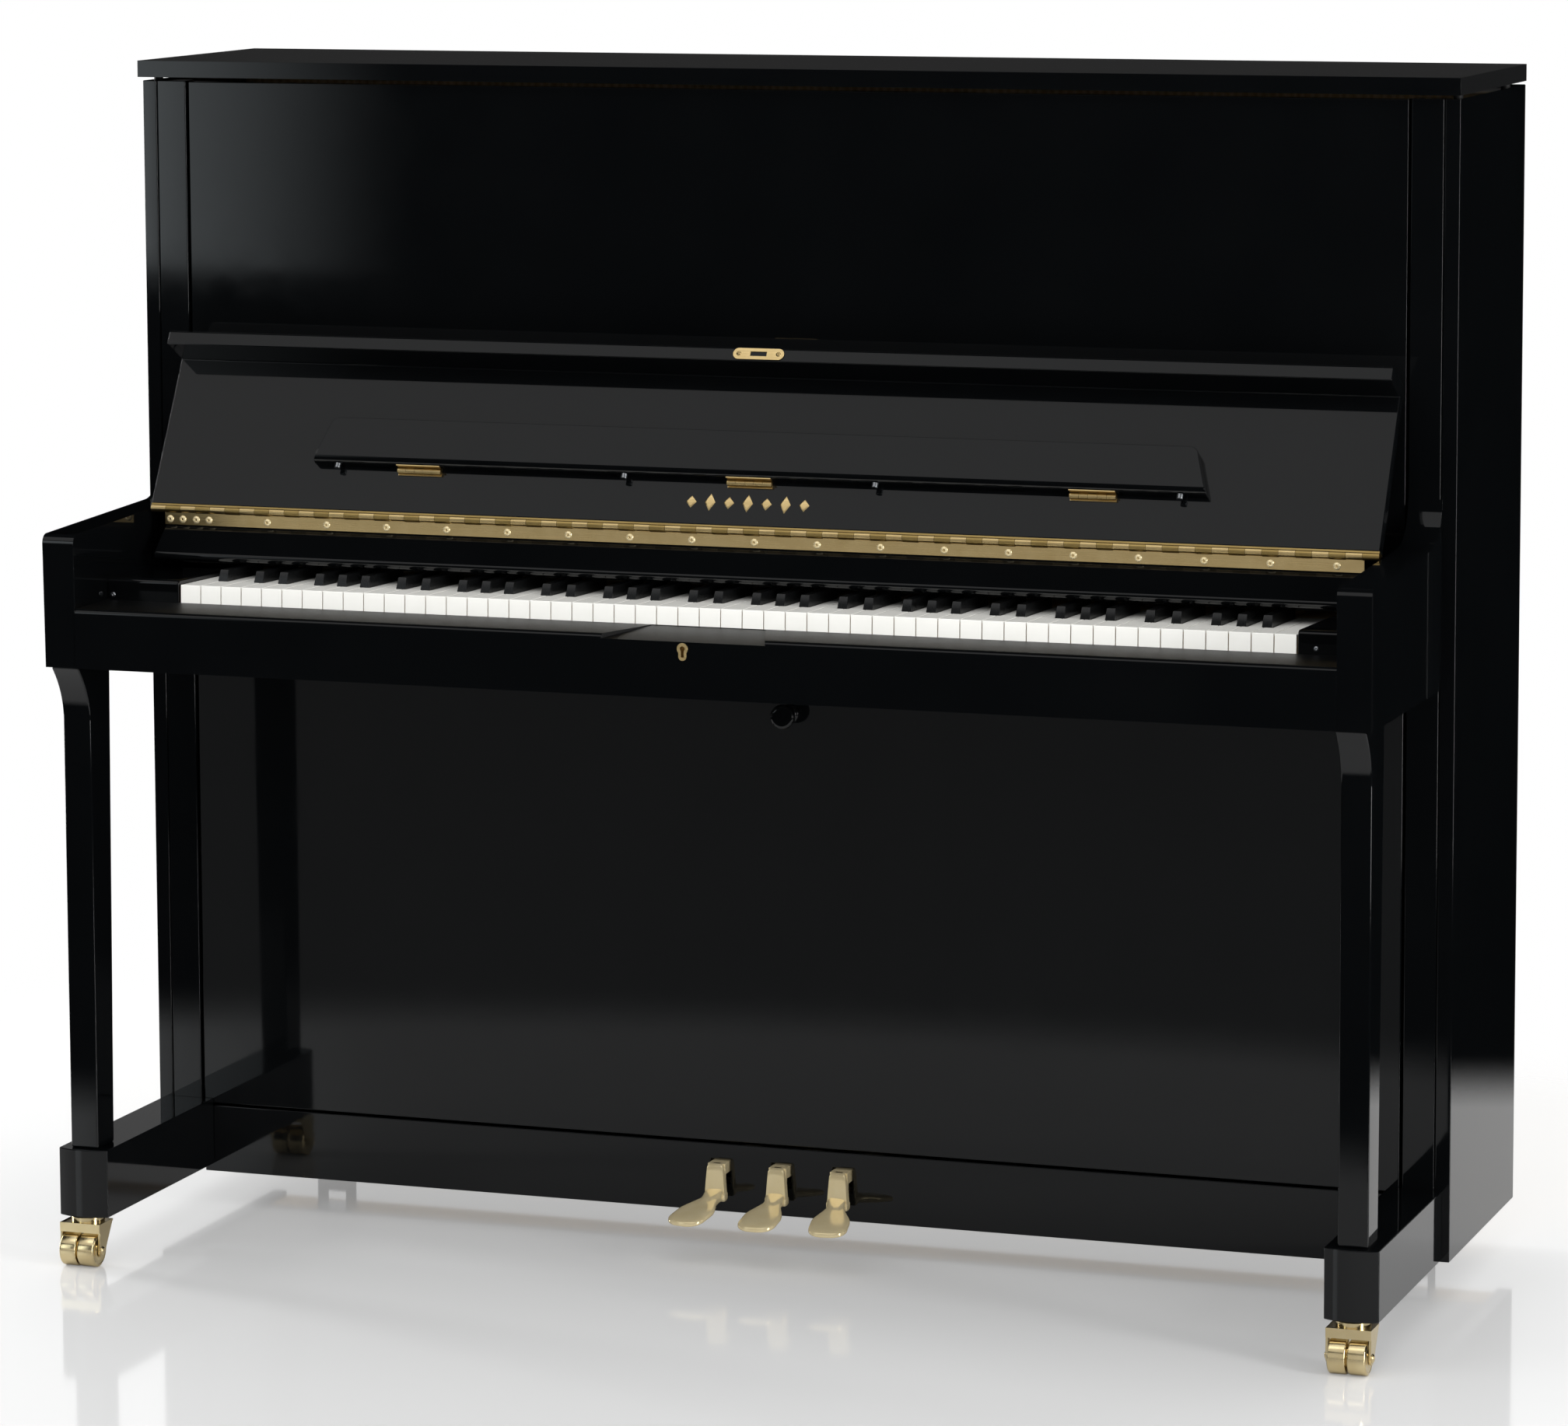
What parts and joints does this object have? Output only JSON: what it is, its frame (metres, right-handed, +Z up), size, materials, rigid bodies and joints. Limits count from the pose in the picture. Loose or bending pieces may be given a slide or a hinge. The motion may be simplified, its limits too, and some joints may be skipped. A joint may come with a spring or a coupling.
{
  "type": "upright piano",
  "caption": "Tall upright piano in polished black with a folding music shelf on an open fallboard, front legs on twin-wheel casters, and foot pedals.",
  "frame": {"origin": "on the floor, under the middle of the whole instrument in width and depth", "axes": "+Z up, +X to the treble end (right of a seated player), -Y towards the player, +Y towards the wall"},
  "size_m": [1.48, 0.604, 1.285],
  "materials": {
    "lacquer": "black polyester lacquer, polished",
    "satin_brass": "satin",
    "polished_brass": "polished",
    "key_white": "polished white key tops",
    "key_black": "satin black",
    "beech": "sanded",
    "spruce": "clear varnish",
    "gilt_iron": "bronze paint",
    "steel": "brushed",
    "felt": "wool felt",
    "wheel_rubber": "matte"
  },
  "bodies": {
    "case": {"side_panel_left": "lacquer", "side_panel_right": "lacquer", "arm_left": "lacquer", "arm_right": "lacquer", "leg_left": "lacquer", "leg_right": "lacquer", "foot_left": "lacquer", "foot_right": "lacquer", "key_bed": "lacquer", "key_slip": "lacquer", "key_blocks": "lacquer", "fallboard_rail": "lacquer", "fallboard_hinge_lower": "satin_brass", "fallboard_lock": "satin_brass", "upper_panel": "lacquer", "lower_panel": "lacquer", "lower_panel_knob": "lacquer", "toe_rail": "lacquer", "bottom_board": "beech", "back_frame": "spruce", "soundboard": "spruce", "iron_plate": "gilt_iron", "tuning_pins": "steel", "strings": "steel", "key_frame": "beech", "action_frame": "beech", "lid_hinge_lower": "satin_brass", "rear_caster_brackets": "steel"},
    "lid": {"top_lid": "lacquer", "lid_hinge_upper": "satin_brass"},
    "fallboard": {"fallboard": "lacquer", "fallboard_hinge_upper": "satin_brass", "strike_plate": "satin_brass", "shelf_hinge_fixed": "satin_brass"},
    "music_shelf": {"music_shelf": "lacquer", "shelf_hinge_moving": "satin_brass"},
    "pedal_left": {"pedal_left": "polished_brass"},
    "pedal_middle": {"pedal_middle": "polished_brass"},
    "pedal_right": {"pedal_right": "polished_brass"},
    "hammers": {"hammers": "beech"},
    "dampers": {"dampers": "beech"},
    "muffler": {"muffler_rail": "felt"},
    "front_fork_left": {"caster_fork_left": "satin_brass"},
    "front_fork_right": {"caster_fork_right": "satin_brass"},
    "front_wheels_left": {"caster_wheels_left": "satin_brass"},
    "front_wheels_right": {"caster_wheels_right": "satin_brass"},
    "rear_wheel_left": {"rear_wheel_left": "wheel_rubber"},
    "rear_wheel_right": {"rear_wheel_right": "wheel_rubber"},
    "keys_c": {"keys_c": "key_white"},
    "keys_c_sharp": {"keys_c_sharp": "key_black"},
    "keys_d": {"keys_d": "key_white"},
    "keys_d_sharp": {"keys_d_sharp": "key_black"},
    "keys_e": {"keys_e": "key_white"},
    "keys_f": {"keys_f": "key_white"},
    "keys_f_sharp": {"keys_f_sharp": "key_black"},
    "keys_g": {"keys_g": "key_white"},
    "keys_g_sharp": {"keys_g_sharp": "key_black"},
    "keys_a": {"keys_a": "key_white"},
    "keys_a_sharp": {"keys_a_sharp": "key_black"},
    "keys_b": {"keys_b": "key_white"}
  },
  "joints": [
    {"name": "lid_hinge", "type": "hinge", "parent": "case", "child": "lid", "pos_m": [0, 0.2994, 1.2648], "axis": [-1, 0, 0], "range_deg": [0, 95]},
    {"name": "fallboard_hinge", "type": "hinge", "parent": "case", "child": "fallboard", "pos_m": [0, -0.112, 0.8044], "axis": [1, 0, 0], "range_deg": [0, 130.8]},
    {"name": "music_shelf_hinge", "type": "hinge", "parent": "fallboard", "child": "music_shelf", "pos_m": [0, -0.09359, 0.8531], "axis": [-1, 0, 0], "range_deg": [-90, 0]},
    {"name": "key_c_press", "type": "hinge", "parent": "case", "child": "keys_c", "pos_m": [0, 0.00022, 0.70748], "axis": [1, 0, 0], "range_deg": [0, 2.6], "stiffness_Nm_per_rad": 3, "springref_deg": -17.19},
    {"name": "key_c_sharp_press", "type": "hinge", "parent": "case", "child": "keys_c_sharp", "pos_m": [0, 0.00022, 0.70748], "axis": [1, 0, 0], "range_deg": [0, 2.6], "stiffness_Nm_per_rad": 3, "springref_deg": -17.19},
    {"name": "key_d_press", "type": "hinge", "parent": "case", "child": "keys_d", "pos_m": [0, 0.00022, 0.70748], "axis": [1, 0, 0], "range_deg": [0, 2.6], "stiffness_Nm_per_rad": 3, "springref_deg": -17.19},
    {"name": "key_d_sharp_press", "type": "hinge", "parent": "case", "child": "keys_d_sharp", "pos_m": [0, 0.00022, 0.70748], "axis": [1, 0, 0], "range_deg": [0, 2.6], "stiffness_Nm_per_rad": 3, "springref_deg": -17.19},
    {"name": "key_e_press", "type": "hinge", "parent": "case", "child": "keys_e", "pos_m": [0, 0.00022, 0.70748], "axis": [1, 0, 0], "range_deg": [0, 2.6], "stiffness_Nm_per_rad": 3, "springref_deg": -17.19},
    {"name": "key_f_press", "type": "hinge", "parent": "case", "child": "keys_f", "pos_m": [0, 0.00022, 0.70748], "axis": [1, 0, 0], "range_deg": [0, 2.6], "stiffness_Nm_per_rad": 3, "springref_deg": -17.19},
    {"name": "key_f_sharp_press", "type": "hinge", "parent": "case", "child": "keys_f_sharp", "pos_m": [0, 0.00022, 0.70748], "axis": [1, 0, 0], "range_deg": [0, 2.6], "stiffness_Nm_per_rad": 3, "springref_deg": -17.19},
    {"name": "key_g_press", "type": "hinge", "parent": "case", "child": "keys_g", "pos_m": [0, 0.00022, 0.70748], "axis": [1, 0, 0], "range_deg": [0, 2.6], "stiffness_Nm_per_rad": 3, "springref_deg": -17.19},
    {"name": "key_g_sharp_press", "type": "hinge", "parent": "case", "child": "keys_g_sharp", "pos_m": [0, 0.00022, 0.70748], "axis": [1, 0, 0], "range_deg": [0, 2.6], "stiffness_Nm_per_rad": 3, "springref_deg": -17.19},
    {"name": "key_a_press", "type": "hinge", "parent": "case", "child": "keys_a", "pos_m": [0, 0.00022, 0.70748], "axis": [1, 0, 0], "range_deg": [0, 2.6], "stiffness_Nm_per_rad": 3, "springref_deg": -17.19},
    {"name": "key_a_sharp_press", "type": "hinge", "parent": "case", "child": "keys_a_sharp", "pos_m": [0, 0.00022, 0.70748], "axis": [1, 0, 0], "range_deg": [0, 2.6], "stiffness_Nm_per_rad": 3, "springref_deg": -17.19},
    {"name": "key_b_press", "type": "hinge", "parent": "case", "child": "keys_b", "pos_m": [0, 0.00022, 0.70748], "axis": [1, 0, 0], "range_deg": [0, 2.6], "stiffness_Nm_per_rad": 3, "springref_deg": -17.19},
    {"name": "pedal_left_press", "type": "hinge", "parent": "case", "child": "pedal_left", "pos_m": [-0.07, 0.12, 0.094], "axis": [1, 0, 0], "range_deg": [0, 5], "stiffness_Nm_per_rad": 20, "springref_deg": -8.59},
    {"name": "pedal_middle_press", "type": "hinge", "parent": "case", "child": "pedal_middle", "pos_m": [0, 0.12, 0.094], "axis": [1, 0, 0], "range_deg": [0, 5], "stiffness_Nm_per_rad": 20, "springref_deg": -8.59},
    {"name": "pedal_right_press", "type": "hinge", "parent": "case", "child": "pedal_right", "pos_m": [0.07, 0.12, 0.094], "axis": [1, 0, 0], "range_deg": [0, 5], "stiffness_Nm_per_rad": 20, "springref_deg": -8.59},
    {"name": "hammer_swing", "type": "hinge", "parent": "case", "child": "hammers", "pos_m": [0, 0.126, 0.9], "axis": [-1, 0, 0], "range_deg": [0, 10]},
    {"name": "damper_lift", "type": "hinge", "parent": "case", "child": "dampers", "pos_m": [0, 0.158, 0.88], "axis": [1, 0, 0], "range_deg": [0, 3.5]},
    {"name": "muffler_drop", "type": "slide", "parent": "case", "child": "muffler", "axis": [0, 0, -1], "range_m": [0, 0.042]},
    {"name": "front_caster_swivel_left", "type": "hinge", "parent": "case", "child": "front_fork_left", "pos_m": [-0.701, -0.266, 0.05], "axis": [0, 0, 1], "continuous": true},
    {"name": "front_wheel_spin_left", "type": "hinge", "parent": "front_fork_left", "child": "front_wheels_left", "pos_m": [-0.701, -0.281, 0.018], "axis": [1, 0, 0], "continuous": true},
    {"name": "front_caster_swivel_right", "type": "hinge", "parent": "case", "child": "front_fork_right", "pos_m": [0.701, -0.266, 0.05], "axis": [0, 0, 1], "continuous": true},
    {"name": "front_wheel_spin_right", "type": "hinge", "parent": "front_fork_right", "child": "front_wheels_right", "pos_m": [0.701, -0.281, 0.018], "axis": [1, 0, 0], "continuous": true},
    {"name": "rear_wheel_spin_left", "type": "hinge", "parent": "case", "child": "rear_wheel_left", "pos_m": [-0.64, 0.262, 0.018], "axis": [1, 0, 0], "continuous": true},
    {"name": "rear_wheel_spin_right", "type": "hinge", "parent": "case", "child": "rear_wheel_right", "pos_m": [0.64, 0.262, 0.018], "axis": [1, 0, 0], "continuous": true}
  ],
  "couplings": [
    {"joint": "hammer_swing", "follows": "pedal_left_press", "ratio": 2},
    {"joint": "damper_lift", "follows": "pedal_right_press", "ratio": 0.7},
    {"joint": "muffler_drop", "follows": "pedal_middle_press", "m_per_rad": 0.48}
  ]
}
